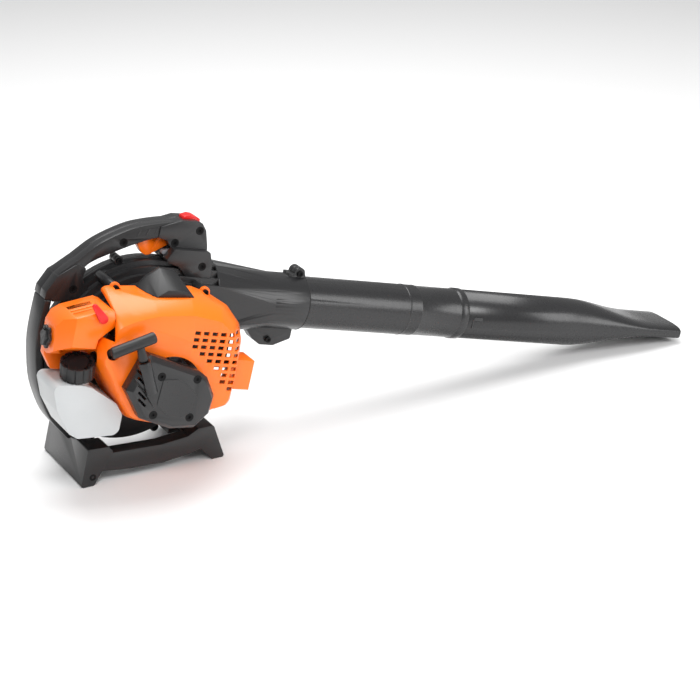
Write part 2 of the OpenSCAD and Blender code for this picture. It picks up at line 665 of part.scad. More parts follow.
module filter_base() color(BLACK) head() difference() {
    block(base_u - 4, base_u, cleaner_far - 50, cleaner_far - 3.5, 60, 90);
    rod_u(base_u - 5, base_u + 1, engine_y - 4, 66, 4);
}
module air_filter() color([0.35, 0.33, 0.3]) head() difference() {
    block(base_u - 28, base_u - 4, cleaner_far - 46, cleaner_far - 5, 72, 88);
    block(base_u - 23, base_u - 3, cleaner_far - 42, cleaner_far - 9, 75, 85);
}

module air_cleaner_cover() color(ORANGE) head() difference() {
    cleaner_shape(0);
    cleaner_shape(-shroud_wall);
    block(-96, -80, cleaner_near + 3, cleaner_far - 3, 60, 92);
    for (i = [0:3]) block(-136, -106, cleaner_far - 17 - 8 * i, cleaner_far - 15 - 8 * i, 78, 110);
    rod_u(-155, -140, KNOB[0], KNOB[1], 4.2);
    cap_room();
    rod_y(choke_pivot[0], choke_pivot[1], cleaner_near - 1, cleaner_near + 8, 2.5);
}
KNOB = [near_y - 39, 45];
module cover_knob() color(BLACK) head() {
    rod_u(-159, -153.6, KNOB[0], KNOB[1], 15);
    rod_u(-154, -128, KNOB[0], KNOB[1], 4.2 - fit);
}
module choke_lever() color(RED) head() {
    rod_y(choke_pivot[0], choke_pivot[1], cleaner_near - 3, cleaner_near + 6, 2.5 - fit);
    slab(cleaner_near - 4.5, cleaner_near - gap) hull() {
        translate(choke_pivot) circle(r = 6);
        translate(choke_pivot + [-14, 15]) circle(r = 3.5);
    }
}

// ---------- shroud and starter ----------

shroud_top = 113;
SHROUD_FAR = [[-104, 30], [-93, 100], [-82, 111], [-34, 114], [36, 119], [62, 112], [92, 98], [116, 74],
    [121, 40], [108, -16], [96, -28], [8, -54], [-34, -50], [-46, -43], [-58, -27]];
SHROUD_MID = [[-103, 30], [-90, 92], [-71, 101], [-37, 111], [16, 115], [61, 107], [85, 89], [97, 68], [100, 30],
    [99, -18], [92, -24], [11, -52], [-29, -47], [-45, -43], [-59, -26]];
SHROUD_NEAR = [[-96, 34], [-84, 78], [-64, 88], [-34, 97], [14, 101], [54, 95], [76, 78], [86, 56], [89, 20],
    [87, -14], [8, -46], [-34, -41], [-45, -36], [-56, -22]];

module shroud_shape(grow) hull() {
    slab(lug_y - 5, lug_y + (grow < 0 ? 1 : 0)) offset(grow) rounded(9, $fn = 24) polygon(SHROUD_FAR);
    slab(face_y + 18, face_y + 20) offset(grow) rounded(12, $fn = 24) polygon(SHROUD_MID);
    slab(face_y - grow, face_y - grow + 1) offset(grow) rounded(14, $fn = 24) polygon(SHROUD_NEAR);
}
// the lower front corner is stepped up over the exhaust side
module shroud_notch(grow) slab(face_y - 9, lug_y + 9)
    polygon([[140, -21 - grow], [68, -21 - grow], [12, -48 - grow], [12, -70], [140, -70]]);
VENT_ROWS = [[6, 76], [6, 67], [6, 58], [5, 49], [4, 40], [3, 31], [2, 22], [2, 13], [1, 4]];

module shroud() color(ORANGE) head() difference() {
    union() {
        difference() {
            shroud_shape(0);
            shroud_notch(0);
        }
        for (p = SHROUD_LUGS) hull() {
            rod_y(p[0], p[1], lug_y - 4, lug_y, 7);
            rod_y(p[0], p[1] - 12, lug_y - 4, lug_y, 8);
        }
        block(96, 130, engine_y - 32, engine_y + 2, -4, 36);
    }
    difference() {
        shroud_shape(-shroud_wall);
        shroud_notch(shroud_wall - 5);
    }
    block(90, 140, engine_y - 29.5, engine_y - 0.5, -1.5, 33.5);
    for (p = SHROUD_LUGS) rod_y(p[0], p[1], lug_y - 14, lug_y - 4, head_r + 0.3);
    block(-64, -38, engine_y - 14, engine_y, -44, -22);
    rod_y(0, 0, face_y - 2, face_y + 5, 46);
    for (p = SHROUD_LUGS) rod_y(p[0], p[1], lug_y - 5, lug_y + 1, screw_r + 0.1);
    for (row = VENT_ROWS) for (i = [0:row[0] - 1])
        translate([81 - 12.2 * i, face_y - 2, row[1]]) cube([8, 26, 5]);
    block(-32, 20, CAP_NEAR + 5, CAP_FAR - 2, 90, 125);
    rod_y(primer[0], primer[1], face_y - 2, face_y + 12, 9);
    translate([0.5, 0, 0]) cleaner_shape(0.5);
    cap_room();
    block(-160, -86, cleaner_near - 20, lug_y + 2, 60, 130);
}
module shroud_screws() color(METAL) head() for (p = SHROUD_LUGS)
    screw_y(p[0], p[1], lug_y - 4 - head_h, 14);

STARTER_BASE = [[-66, 3], [-50, 46], [-42, 51], [30, 33], [42, 26], [57, 2], [55, -22], [38, -42], [4, -45], [-40, -33]];
STARTER_SCREWS = [[-25, 26], [25, 25], [-26, -25], [25, -26]];
module starter_shape(grow) hull() {
    slab(cover_y + 8 - grow, face_y) offset(grow) polygon(STARTER_BASE);
    slab(cover_y - grow, cover_y - grow + 1) offset(grow - 6) polygon(STARTER_BASE);
}
module rope_frame() translate([ring_u, pull_y, ring_v]) rotate([0, -pull_lean, 0]) children();

module starter_cover() color(DARK) head() difference() {
    union() {
        difference() {
            starter_shape(0);
            difference() {
                translate([0, 0.01, 0]) starter_shape(-shroud_wall);
                for (p = STARTER_SCREWS) rod_y(p[0], p[1], cover_y, face_y, 5);
                rope_frame() translate([0, 0, -48]) cylinder(h = 52, r = 8.5);
            }
        }
        rope_frame() translate([0, 0, -44]) cylinder(h = 44, r = 8.5);
        rod_y(0, 0, cover_y + 1, face_y - 4, 6);
    }
    for (p = STARTER_SCREWS) {
        rod_y(p[0], p[1], cover_y - 1, face_y + 1, screw_r + 0.1);
        rod_y(p[0], p[1], cover_y - 1, cover_y + head_h + 0.3, head_r + 0.4);
    }
    rope_frame() translate([0, 0, -40]) cylinder(h = 45, r = 5.4);
    for (i = [0:4]) translate([-58 + 1.5 * i, cover_y - 2, 30 - 9 * i]) rotate([0, 38, 0]) cube([15, 12, 3.2]);
}
module starter_screws() color(METAL) head() for (p = STARTER_SCREWS)
    screw_y(p[0], p[1], cover_y + 0.2, starter_d - 0.5);

module starter_pulley() color(BLACK) head() difference() {
    union() {
        rod_y(0, 0, cover_y + 11, cover_y + 12.5, 27);
        rod_y(0, 0, cover_y + 11, cover_y + 18, rope_r - 1);
        rod_y(0, 0, cover_y + 16.5, cover_y + 18, 27);
    }
    rod_y(0, 0, cover_y, face_y + 5, 6 + fit);
}
SPRING_TURNS = 4;
module recoil_spring() color(METAL) head() slab(cover_y + 3.2, cover_y + 10) for (i = [0:SPRING_TURNS - 1])
    difference() {
        circle(r = 12 + 3.4 * i);
        circle(r = 11 + 3.4 * i);
        translate([0, -1]) square([60, 2]);
    }

module starter_handle() color(DARK) head() rope_frame() {
    translate([0, 0, -12]) cylinder(h = 16, r = 5);
    translate([0, 0, 3]) cylinder(h = 22, r1 = 6.5, r2 = 5);
    translate([-38, 0, 26]) rotate([0, 90, 0]) cylinder(h = 60, r = 7.5);
}

// ---------- fuel tank ----------

tank_far = near_y - 22;
tank_near = tank_far - tank_d;
TANK = [[-151, -4], [-150, -12], [-140, -38], [-119, -67], [-106, -73], [-58, -66], [-52, -60], [-52, -38], [-63, -24],
    [-100, -5], [-116, -2]];
module tank_outline() rounded(8) polygon(TANK);
module neck_frame() translate(neck) rotate([0, -pitch, 0]) rotate([cap_lean, 0, 0]) children();
NECK_R = 15;
module fuel_tank() color(MILK) head() difference() {
    union() {
        slab(tank_near, tank_far) tank_outline();
        neck_frame() translate([0, 0, -8]) cylinder(h = 8 + cap_base + 14, r = NECK_R);
    }
    slab(tank_near + tank_wall, tank_far - tank_wall) offset(-tank_wall) tank_outline();
    neck_frame() translate([0, 0, -20]) cylinder(h = 50, r = NECK_R - tank_wall);
}
// room that the covers leave round the fuel cap
module cap_room() neck_frame() translate([0, 0, cap_base - 3]) cylinder(h = 40, r = cap_r + 1.5);
module fuel_cap() color(BLACK) head() neck_frame() difference() {
    translate([0, 0, cap_base]) cylinder(h = 20, r = cap_r);
    translate([0, 0, cap_base - 1]) cylinder(h = 16, r = NECK_R + fit);
    for (a = [0:24:336]) rotate([0, 0, a]) translate([cap_r + 1.2, 0, cap_base - 1]) cylinder(h = 30, r = 2.2, $fn = 16);
}
module tank_mounts() color(BLACK) head() {
    block(-52, -44, engine_y - 12, engine_y - 2, -58, -30);
}

// ---------- stand ----------

stand_near = -75;
stand_far = stand_near + stand_w;
rear_x = -foot_strip / 2;
front_x = rear_x + stand_len;
REAR_FOOT = [[rear_x, 0], [rear_x + foot_strip, 0], [rear_x + 47, 43], [rear_x + 40, 50], [rear_x + 13, 52]];
FRONT_FOOT = [[front_x, 0], [front_x + foot_strip, 0], [front_x + 4, 48], [front_x - 18, 48], [front_x - 34, 40]];

pad_t = 3;                                  // thickness of the rubber pads
module scroll_room() head() {
    slab(near_y - 4, far_y + 4) scroll(pad_t);
    slab(near_y - 4, far_y + 4) for (p = CASE_JOINTS) translate(p) circle(r = CASE_BOSS + 1);
}

module stand() color(DARK) difference() {
    union() {
        slab(stand_near, stand_far) rounded(3) polygon(REAR_FOOT);
        slab(stand_near, stand_far) rounded(3) polygon(FRONT_FOOT);
        slab(near_y + 4, far_y - 4) polygon([[rear_x + 16, 40], [rear_x + 62, 40], [rear_x + 66, 56], [rear_x + 22, 60]]);
        slab(near_y + 4, far_y - 4) polygon([[front_x - 44, 30], [front_x, 30], [front_x - 10, 86], [front_x - 34, 90]]);
        slab(stand_near, stand_near + 22) polygon([[rear_x + 30, 18], [rear_x + 70, 13], [rear_x + 114, 11],
            [rear_x + 160, 16], [front_x - 4, 22], [front_x - 12, 42], [rear_x + 114, 37], [rear_x + 40, 41]]);
    }
    scroll_room();
    head() slab(-handle_half_w, handle_half_w) band_outline();
}

// rubber pads between the stand's saddles and the fan case
module stand_pads() color(BLACK) intersection() {
    union() {
        slab(near_y + 10, far_y - 10) polygon([[rear_x + 30, 40], [rear_x + 58, 40], [rear_x + 62, 90], [rear_x + 34, 90]]);
        slab(near_y + 10, far_y - 10) polygon([[front_x - 40, 40], [front_x - 14, 40], [front_x - 16, 100], [front_x - 36, 100]]);
    }
    head() for (y = [-BANDS[0][0], 5]) slab(y, y + BANDS[0][0] - 5) difference() {
        scroll(pad_t);
        scroll(0);
        for (p = CASE_JOINTS) translate(p) circle(r = CASE_BOSS + 1);
    }
}

stand();
stand_pads();
fan_case_near();
fan_case_far();
case_screws();
impeller();
impeller_nut();
intake_guard();
guard_screws();
duct_clamp_screw();
straight_tube();
nozzle();
handle_near();
handle_far();
handle_screws();
rear_band();
trigger();
trigger_pin();
stop_switch();
throttle_lock();
crankcase();
crankcase_gasket();
engine_bolts();
bearing_near();
bearing_far();
crankshaft();
flywheel();
flywheel_nut();
cylinder_node();  // cylinder
piston();
piston_rings();
ignition_coil();
spark_plug();
plug_boot();
plug_cap();
exhaust_gasket();
muffler();
intake_spacer();
carburettor();
primer_bulb();
filter_base();
air_filter();
air_cleaner_cover();
cover_knob();
choke_lever();
shroud();
shroud_screws();
starter_cover();
starter_screws();
starter_pulley();
recoil_spring();
starter_handle();
fuel_tank();
fuel_cap();
tank_mounts();
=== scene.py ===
"""Looks of a hand-held petrol leaf blower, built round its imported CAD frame."""
import logging
import math
from dataclasses import dataclass, field
from enum import Enum
from typing import Iterable, Optional, Sequence

import bpy
from mathutils import Matrix, Vector


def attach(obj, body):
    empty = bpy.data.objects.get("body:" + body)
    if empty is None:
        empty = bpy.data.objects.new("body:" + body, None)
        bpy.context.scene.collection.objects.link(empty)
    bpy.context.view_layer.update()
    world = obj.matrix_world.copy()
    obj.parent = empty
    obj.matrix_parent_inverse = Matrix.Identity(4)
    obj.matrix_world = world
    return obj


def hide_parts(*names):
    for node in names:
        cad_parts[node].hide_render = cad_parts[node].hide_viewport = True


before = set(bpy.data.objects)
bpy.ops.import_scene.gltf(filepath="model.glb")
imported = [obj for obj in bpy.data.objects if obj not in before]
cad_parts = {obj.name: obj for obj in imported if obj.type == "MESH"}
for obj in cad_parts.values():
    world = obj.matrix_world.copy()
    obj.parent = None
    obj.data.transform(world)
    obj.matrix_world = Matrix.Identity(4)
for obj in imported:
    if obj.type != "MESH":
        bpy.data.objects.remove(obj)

MM = 0.001
MERGE_M = 0.00001
SPIN_MERGE_M = 0.00002
LOG = logging.getLogger("leaf_blower")
Point = tuple[float, float]
Triple = tuple[float, float, float]


class Rider(Enum):
    """The CAD bodies that new pieces ride on."""

    HOUSING = "housing"
    NOZZLE = "nozzle"
    TRIGGER = "trigger"
    STOP = "stop_switch"
    LOCK = "throttle_lock"
    CHOKE = "choke_lever"
    FUEL_CAP = "fuel_cap"
    KNOB = "cover_knob"
    PRIMER = "primer_bulb"
    STARTER = "starter_handle"


# ---------------------------------------------------------------- materials


def linear(hex_code: str, alpha: float = 1.0) -> tuple[float, float, float, float]:
    """Turns an sRGB hex value into a linear colour.

    Args:
        hex_code: Six hex digits after a hash.
        alpha: Opacity.

    Returns:
        Linear red, green, blue and alpha.
    """
    digits = hex_code.lstrip("#")
    parts = [int(digits[i:i + 2], 16) / 255 for i in (0, 2, 4)]
    bent = [p / 12.92 if p <= 0.04045 else ((p + 0.055) / 1.055) ** 2.4 for p in parts]
    return bent[0], bent[1], bent[2], alpha


def add_node(tree: bpy.types.NodeTree, kind: str, links: Optional[dict] = None,
             **settings: str) -> bpy.types.Node:
    """Adds one shader node with its settings and its incoming links.

    Args:
        tree: The material's node tree.
        kind: Blender's name of the node type.
        links: Input name or index to the output socket that feeds it.
        **settings: Node properties.

    Returns:
        The new node.
    """
    node = tree.nodes.new(kind)
    for name, value in settings.items():
        setattr(node, name, value)
    for name, source in (links or {}).items():
        tree.links.new(source, node.inputs[name])
    return node


@dataclass(frozen=True)
class Finish:
    """A surface finish: base colour, gloss, and moulded or cast texture.

    grain_mm is the spacing of the surface texture and relief_mm its depth. Textures finer than
    about a millimetre are drawn coarser than life, so that they still show.
    """

    name: str
    colour: str
    deep: str
    roughness: float
    slot: str
    metallic: float = 0.0
    ior: float = 1.5
    grain_mm: float = 1.2
    relief_mm: float = 0.03
    blotch_mm: float = 60.0
    roughness_spread: float = 0.06
    coat: float = 0.0
    subsurface: float = 0.0

    def material(self) -> bpy.types.Material:
        """Builds the material once and returns it."""
        made = bpy.data.materials.get(self.name)
        if made:
            return made
        made = bpy.data.materials.new(self.name)
        made.use_nodes = True
        tree = made.node_tree
        shader = tree.nodes["Principled BSDF"]
        place = add_node(tree, "ShaderNodeTexCoord")
        cloud = add_node(tree, "ShaderNodeTexNoise", {"Vector": place.outputs["Object"]})
        cloud.inputs["Scale"].default_value = 1.0 / (self.blotch_mm * MM)
        cloud.inputs["Detail"].default_value = 3.0
        tone = add_node(tree, "ShaderNodeMix", {0: cloud.outputs["Fac"]}, data_type="RGBA")
        tone.inputs[6].default_value = linear(self.colour)
        tone.inputs[7].default_value = linear(self.deep)
        tree.links.new(tone.outputs[2], shader.inputs["Base Color"])
        grain = add_node(tree, "ShaderNodeTexNoise", {"Vector": place.outputs["Object"]})
        grain.inputs["Scale"].default_value = 1.0 / (self.grain_mm * MM)
        grain.inputs["Detail"].default_value = 2.0
        spread = add_node(tree, "ShaderNodeMapRange", {"Value": grain.outputs["Fac"]})
        spread.inputs["To Min"].default_value = max(0.02, self.roughness - self.roughness_spread)
        spread.inputs["To Max"].default_value = min(1.0, self.roughness + self.roughness_spread)
        tree.links.new(spread.outputs["Result"], shader.inputs["Roughness"])
        bump = add_node(tree, "ShaderNodeBump", {"Height": grain.outputs["Fac"]})
        bump.inputs["Strength"].default_value = 0.6
        bump.inputs["Distance"].default_value = self.relief_mm * MM
        tree.links.new(bump.outputs["Normal"], shader.inputs["Normal"])
        shader.inputs["Metallic"].default_value = self.metallic
        if not self.metallic:
            shader.inputs["IOR"].default_value = self.ior
        shader.inputs["Coat Weight"].default_value = self.coat
        shader.inputs["Coat Roughness"].default_value = 0.12
        shader.inputs["Subsurface Weight"].default_value = self.subsurface
        shader.inputs["Subsurface Radius"].default_value = (0.012, 0.011, 0.010)
        made.diffuse_color = linear(self.colour)
        return made


# ABS, injection moulded and polished: an even orange with soft, clear highlights.
ORANGE_ABS = Finish("orange_abs_polished", "#FF7606", "#FA6C03", 0.34, "orange", ior=1.52, grain_mm=1.6,
                    relief_mm=0.012, blotch_mm=90, roughness_spread=0.03, coat=0.1)
# Glass-filled nylon, moulded with a fine spark texture: dark grey and satin.
GREY_NYLON = Finish("dark_grey_nylon_moulded", "#262627", "#202021", 0.3, "dark", ior=1.5, grain_mm=1.0,
                    relief_mm=0.035, blotch_mm=70, roughness_spread=0.07)
# The same nylon in the tubes, smoother because they are blow moulded.
GREY_TUBE = Finish("dark_grey_polyethylene_blown", "#2A2A2B", "#242425", 0.28, "dark", ior=1.5, grain_mm=6.0,
                   relief_mm=0.01, blotch_mm=110, roughness_spread=0.05)
# Black nylon, moulded: nearly black with a dull sheen.
BLACK_NYLON = Finish("black_nylon_moulded", "#1B1B1C", "#141415", 0.45, "black", ior=1.5, grain_mm=1.0,
                     relief_mm=0.035, blotch_mm=50)
# Nitrile rubber, moulded: black, matte and slightly blotched. The same finish colours the ring of painted gap
# shade at the duct's collar.
BLACK_RUBBER_AND_GAP_SHADE = Finish("black_nitrile_rubber_and_gap_shade", "#171717", "#0F0F0F", 0.68, "rubber", ior=1.52, grain_mm=0.9,
                      relief_mm=0.05, blotch_mm=30)
# Red ABS of the controls: saturated and glossy.
RED_ABS = Finish("red_abs_moulded", "#E81613", "#D51010", 0.3, "red", ior=1.52, grain_mm=1.2, relief_mm=0.012,
                 blotch_mm=40, roughness_spread=0.03)
# Grey acetal of the small lever: plain and waxy.
GREY_ACETAL = Finish("grey_acetal_moulded", "#8E8E92", "#828286", 0.4, "grey", ior=1.48, grain_mm=1.2,
                     relief_mm=0.02)
# Natural polyethylene of the tank: milky, waxy, and light glows through it.
MILKY_TANK = Finish("natural_polyethylene_blown", "#C4C6C7", "#B9BCBD", 0.36, "milk", ior=1.51, grain_mm=3.0,
                    relief_mm=0.02, blotch_mm=45, subsurface=0.35)
# Zinc-plated steel screws: bright with a fine streak.
ZINC_STEEL = Finish("zinc_plated_steel", "#A9ACB0", "#93969B", 0.3, "steel", metallic=1.0, grain_mm=0.8,
                    relief_mm=0.01, blotch_mm=12, roughness_spread=0.1)
# Blackened screws of the outer covers: dark and matte. The same finish colours the rims of painted recess
# shade round the sunk screws.
BLACK_SCREW_AND_RECESS_SHADE = Finish("black_oxide_steel_and_recess_shade", "#0A0A0B", "#060607", 0.62, "steel", ior=1.3, grain_mm=0.8,
                     relief_mm=0.01, blotch_mm=12, roughness_spread=0.1)
# Die-cast aluminium: grainy and dull silver.
CAST_ALLOY = Finish("die_cast_aluminium", "#A6A8AB", "#8E9094", 0.5, "alloy", metallic=1.0, grain_mm=1.4,
                    relief_mm=0.08, blotch_mm=25, roughness_spread=0.12)
# Pressed steel of the muffler, browned by heat.
HOT_STEEL = Finish("heat_browned_steel", "#6E665E", "#4E4640", 0.5, "heat", metallic=1.0, grain_mm=1.6,
                   relief_mm=0.04, blotch_mm=22, roughness_spread=0.14)
# Glazed alumina of the spark plug: white and shiny.
GLAZED_CERAMIC = Finish("glazed_alumina", "#EFEDE6", "#E6E4DC", 0.16, "ceramic", ior=1.65, grain_mm=2.0,
                        relief_mm=0.006, blotch_mm=15, roughness_spread=0.03)
# Pleated felt of the air filter: grey-brown and fibrous.
FILTER_FELT = Finish("pleated_filter_felt", "#5E574D", "#4C463D", 0.92, "felt", ior=1.45, grain_mm=1.0,
                     relief_mm=0.25, blotch_mm=14)


# ---------------------------------------------------------------- modelling helpers


def deselect() -> None:
    """Leaves edit mode and deselects every object."""
    if bpy.context.object and bpy.context.object.mode != "OBJECT":
        bpy.ops.object.mode_set(mode="OBJECT")
    bpy.ops.object.select_all(action="DESELECT")


def make_active(piece: bpy.types.Object) -> None:
    """Selects one object alone and makes it active."""
    deselect()
    piece.select_set(True)
    bpy.context.view_layer.objects.active = piece


def apply_modifiers(piece: bpy.types.Object) -> None:
    """Applies all of a piece's modifiers in order."""
    make_active(piece)
    for modifier in list(piece.modifiers):
        bpy.ops.object.modifier_apply(modifier=modifier.name)


def smooth(piece: bpy.types.Object, degrees: float = 32.0) -> None:
    """Shades a piece smooth, with sharp edges past an angle."""
    make_active(piece)
    bpy.ops.object.shade_smooth_by_angle(angle=math.radians(degrees))


def round_edges(piece: bpy.types.Object, width_mm: float, segments: int = 3,
                degrees: float = 35.0) -> None:
    """Rounds a piece's sharp edges with an applied bevel.

    Args:
        piece: The mesh object.
        width_mm: Bevel width in millimetres.
        segments: Steps across the bevel.
        degrees: Only edges sharper than this are rounded.
    """
    bevel = piece.modifiers.new("round_edges", "BEVEL")
    bevel.width = width_mm * MM
    bevel.segments = segments
    bevel.limit_method = "ANGLE"
    bevel.angle_limit = math.radians(degrees)
    bevel.use_clamp_overlap = True
    bevel.miter_outer = "MITER_ARC"
    bevel.harden_normals = False
    apply_modifiers(piece)


def dress(piece: bpy.types.Object, finish: Finish, rider: Rider,
          stands_for: Iterable[str] = ()) -> bpy.types.Object:
    """Gives a finished piece its material and ties it to the CAD frame.

    Args:
        piece: The mesh object.
        finish: Its finish.
        rider: The body that it rides on.
        stands_for: CAD nodes that it replaces.

    Returns:
        The same piece.
    """
    piece.data.materials.clear()
    piece.data.materials.append(finish.material())
    for polygon in piece.data.polygons:
        polygon.material_index = 0
    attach(piece, rider.value)
    names = list(stands_for)
    if names:
        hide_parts(*names)
    LOG.info("%s: %d faces in %s", piece.name, len(piece.data.polygons), finish.name)
    return piece


def refined(node: str, finish: Finish, rider: Rider, edge_mm: float = 0.5, segments: int = 2,
            flat_degrees: float = 1.0) -> bpy.types.Object:
    """Makes a finished copy of a CAD node, with its loose triangles merged and its edges rounded.

    Args:
        node: The CAD node that the copy stands for.
        finish: Its finish.
        rider: The body that it rides on.
        edge_mm: Width of the rounded edges, or 0 for none.
        segments: Steps across each rounded edge.
        flat_degrees: Faces flatter than this to each other are joined first.

    Returns:
        The finished piece.
    """
    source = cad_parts[node]
    deselect()
    source.hide_set(False)
    source.select_set(True)
    bpy.context.view_layer.objects.active = source
    bpy.ops.object.duplicate(linked=False)
    piece = bpy.context.object
    piece.parent = None
    piece.matrix_world = Matrix.Identity(4)
    piece.name = node + "_finished"
    piece.data.name = piece.name
    make_active(piece)
    bpy.ops.object.mode_set(mode="EDIT")
    bpy.ops.mesh.select_all(action="SELECT")
    bpy.ops.mesh.remove_doubles(threshold=MERGE_M)
    bpy.ops.mesh.dissolve_limited(angle_limit=math.radians(flat_degrees))
    bpy.ops.object.mode_set(mode="OBJECT")
    if edge_mm > 0:
        round_edges(piece, edge_mm, segments)
    smooth(piece)
    return dress(piece, finish, rider, [node])


PITCH = math.radians(14.5)
HEAD = Matrix.Translation((0.094, 0.0, 0.137)) @ Matrix.Rotation(PITCH, 4, "Y")


def start_loop(name: str, points: Sequence[Triple], filled: bool) -> bpy.types.Object:
    """Starts a piece from one closed loop of points, in millimetres.

    Args:
        name: The piece's name.
        points: The loop's corners in the head frame.
        filled: Whether the loop gets a face.

    Returns:
        The new object, in object mode.
    """
    deselect()
    fill = "NGON" if filled else "NOTHING"
    bpy.ops.mesh.primitive_circle_add(vertices=len(points), radius=1.0, fill_type=fill)
    piece = bpy.context.object
    piece.name = name
    piece.data.name = name
    for vertex, point in zip(piece.data.vertices, points):
        vertex.co = Vector(point) * MM
    return piece


def close_up(piece: bpy.types.Object, frame_matrix: Matrix = HEAD) -> bpy.types.Object:
    """Turns normals outwards and moves a piece from its own frame to the world.

    Args:
        piece: The mesh object.
        frame_matrix: The frame in which it was drawn.

    Returns:
        The same piece, at the origin, unrotated and unscaled.
    """
    make_active(piece)
    bpy.ops.object.mode_set(mode="EDIT")
    bpy.ops.mesh.select_all(action="SELECT")
    bpy.ops.mesh.normals_make_consistent(inside=False)
    bpy.ops.object.mode_set(mode="OBJECT")
    piece.matrix_world = frame_matrix
    bpy.ops.object.transform_apply(location=True, rotation=True, scale=True)
    return piece


def slab(name: str, outline: Sequence[Point], y0: float, y1: float, edge_mm: float = 0.6,
         inset_mm: float = 0.0, raise_mm: float = 0.0) -> bpy.types.Object:
    """Extrudes a (u, v) outline along Y, with an optional inset field on its near face.

    Args:
        name: The piece's name.
        outline: Corners in the head frame's u and v.
        y0: Near face.
        y1: Far face.
        edge_mm: Width of the rounded edges.
        inset_mm: How far the field on the near face is inset, or 0 for none.
        raise_mm: How far the field stands out.

    Returns:
        The piece in the world frame.
    """
    piece = start_loop(name, [(u, y1, v) for u, v in outline], True)
    bpy.ops.object.mode_set(mode="EDIT")
    bpy.ops.mesh.select_all(action="SELECT")
    bpy.ops.mesh.extrude_region_move(TRANSFORM_OT_translate={"value": (0.0, (y0 - y1) * MM, 0.0)})
    if inset_mm > 0:
        bpy.ops.mesh.inset(thickness=inset_mm * MM, depth=0.0)
        bpy.ops.transform.translate(value=(0.0, -raise_mm * MM, 0.0))
    bpy.ops.object.mode_set(mode="OBJECT")
    close_up(piece)
    if edge_mm > 0:
        round_edges(piece, edge_mm)
    smooth(piece)
    return piece


def turned(name: str, profile: Sequence[Point], place: Matrix, steps: int = 48,
           edge_mm: float = 0.0) -> bpy.types.Object:
    """Spins a closed (radius, height) profile about the local Z axis.

    Args:
        name: The piece's name.
        profile: Corners as radius and height in millimetres.
        place: Local frame in the head frame.
        steps: Segments round the axis.
        edge_mm: Width of the rounded edges.

    Returns:
        The piece in the world frame.
    """
    piece = start_loop(name, [(r, 0.0, h) for r, h in profile], False)
    bpy.ops.object.mode_set(mode="EDIT")
    bpy.ops.mesh.select_all(action="SELECT")
    bpy.ops.mesh.spin(steps=steps, angle=2 * math.pi, center=(0, 0, 0), axis=(0, 0, 1), use_auto_merge=True)
    bpy.ops.mesh.select_all(action="SELECT")
    bpy.ops.mesh.remove_doubles(threshold=SPIN_MERGE_M)
    bpy.ops.object.mode_set(mode="OBJECT")
    close_up(piece, HEAD @ place)
    if edge_mm > 0:
        round_edges(piece, edge_mm, 2, 40.0)
    smooth(piece)
    return piece


def spot(u: float, y: float, v: float, axis: Triple = (0.0, -1.0, 0.0)) -> Matrix:
    """Returns a local frame in the head frame, its Z axis along the given axis."""
    turn = Vector(axis).to_track_quat("Z", "Y").to_matrix().to_4x4()
    return Matrix.Translation(Vector((u, y, v)) * MM) @ turn


def rounded_loop(corners: Sequence[Point], radius: float, steps: int = 4) -> list[Point]:
    """Rounds the corners of an outline.

    Args:
        corners: The sharp corners in order.
        radius: Distance along each side at which the rounding starts.
        steps: Pieces in each corner.

    Returns:
        The rounded outline.
    """
    out: list[Point] = []
    for i, corner in enumerate(corners):
        here = Vector(corner)
        before = Vector(corners[i - 1]) - here
        after = Vector(corners[(i + 1) % len(corners)]) - here
        start = here + before.normalized() * min(radius, before.length / 2.05)
        end = here + after.normalized() * min(radius, after.length / 2.05)
        for k in range(steps + 1):
            t = k / steps
            spot_on = start * (1 - t) ** 2 + here * 2 * t * (1 - t) + end * t * t
            out.append((spot_on.x, spot_on.y))
    return out


# ---------------------------------------------------------------- sub-assemblies


@dataclass
class Kept:
    """CAD nodes whose shape is right and that only take a better finish."""

    finishes: dict[str, Finish] = field(default_factory=dict)

    def build(self) -> None:
        """Assigns each node's finish to its material slots."""
        for node, finish in self.finishes.items():
            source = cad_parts[node]
            source.data.materials.clear()
            source.data.materials.append(finish.material())
            LOG.info("%s keeps its CAD shape in %s", node, finish.name)


@dataclass
class Refined:
    """CAD nodes whose edges are rounded: node to finish, body and edge width in millimetres."""

    entries: dict[str, tuple[Finish, Rider, float]] = field(default_factory=dict)

    def build(self) -> None:
        """Makes a refined copy of each node."""
        for node, (finish, rider, edge_mm) in self.entries.items():
            refined(node, finish, rider, edge_mm)


@dataclass
class ScrewShadeRimsAndFootScrew:
    """Dark rims round the sunk screws of the handle and the starter cover, painted shade of the screw
    recesses.
    """

    shade_rim_r: float = 5.6
    bore_r: float = 3.4
    steps: int = 28
    foot_place: Triple = (8.0, -75.0, 12.0)
    places: tuple[Triple, ...] = (
        (-104.0, -18.0, 90.0), (-46.0, -15.0, 156.0), (24.0, -18.0, 162.0), (56.0, -18.0, 181.0),
        (63.0, -31.0, 137.0), (-25.0, -152.0, 26.0), (25.0, -152.0, 25.0), (-26.0, -152.0, -25.0),
        (25.0, -152.0, -26.0),
    )

    def build(self) -> None:
        """Turns one rim of painted recess shade for each sunk screw, and the screw in the foot."""
        r, hole = self.shade_rim_r, self.bore_r
        rim = [(hole, -0.6), (r, -0.4), (r, 0.12), (r - 0.5, 0.3), (r - 1.0, 0.2), (hole, -0.2)]
        for number, place in enumerate(self.places, 1):
            # Each dark rim stands for the shade inside a screw recess: painted shade.
            seat = turned(f"screw_recess_shade_{number}", rim, spot(*place), self.steps)
            dress(seat, BLACK_SCREW_AND_RECESS_SHADE, Rider.HOUSING)
        head = [(0.02, -0.6), (4.6, -0.4), (4.6, 0.1), (3.8, 0.5), (2.0, 0.5), (1.8, -0.2), (0.02, -0.2)]
        foot = turned("foot_screw", head, HEAD.inverted() @ spot(*self.foot_place), self.steps)
        dress(foot, BLACK_SCREW_AND_RECESS_SHADE, Rider.HOUSING)


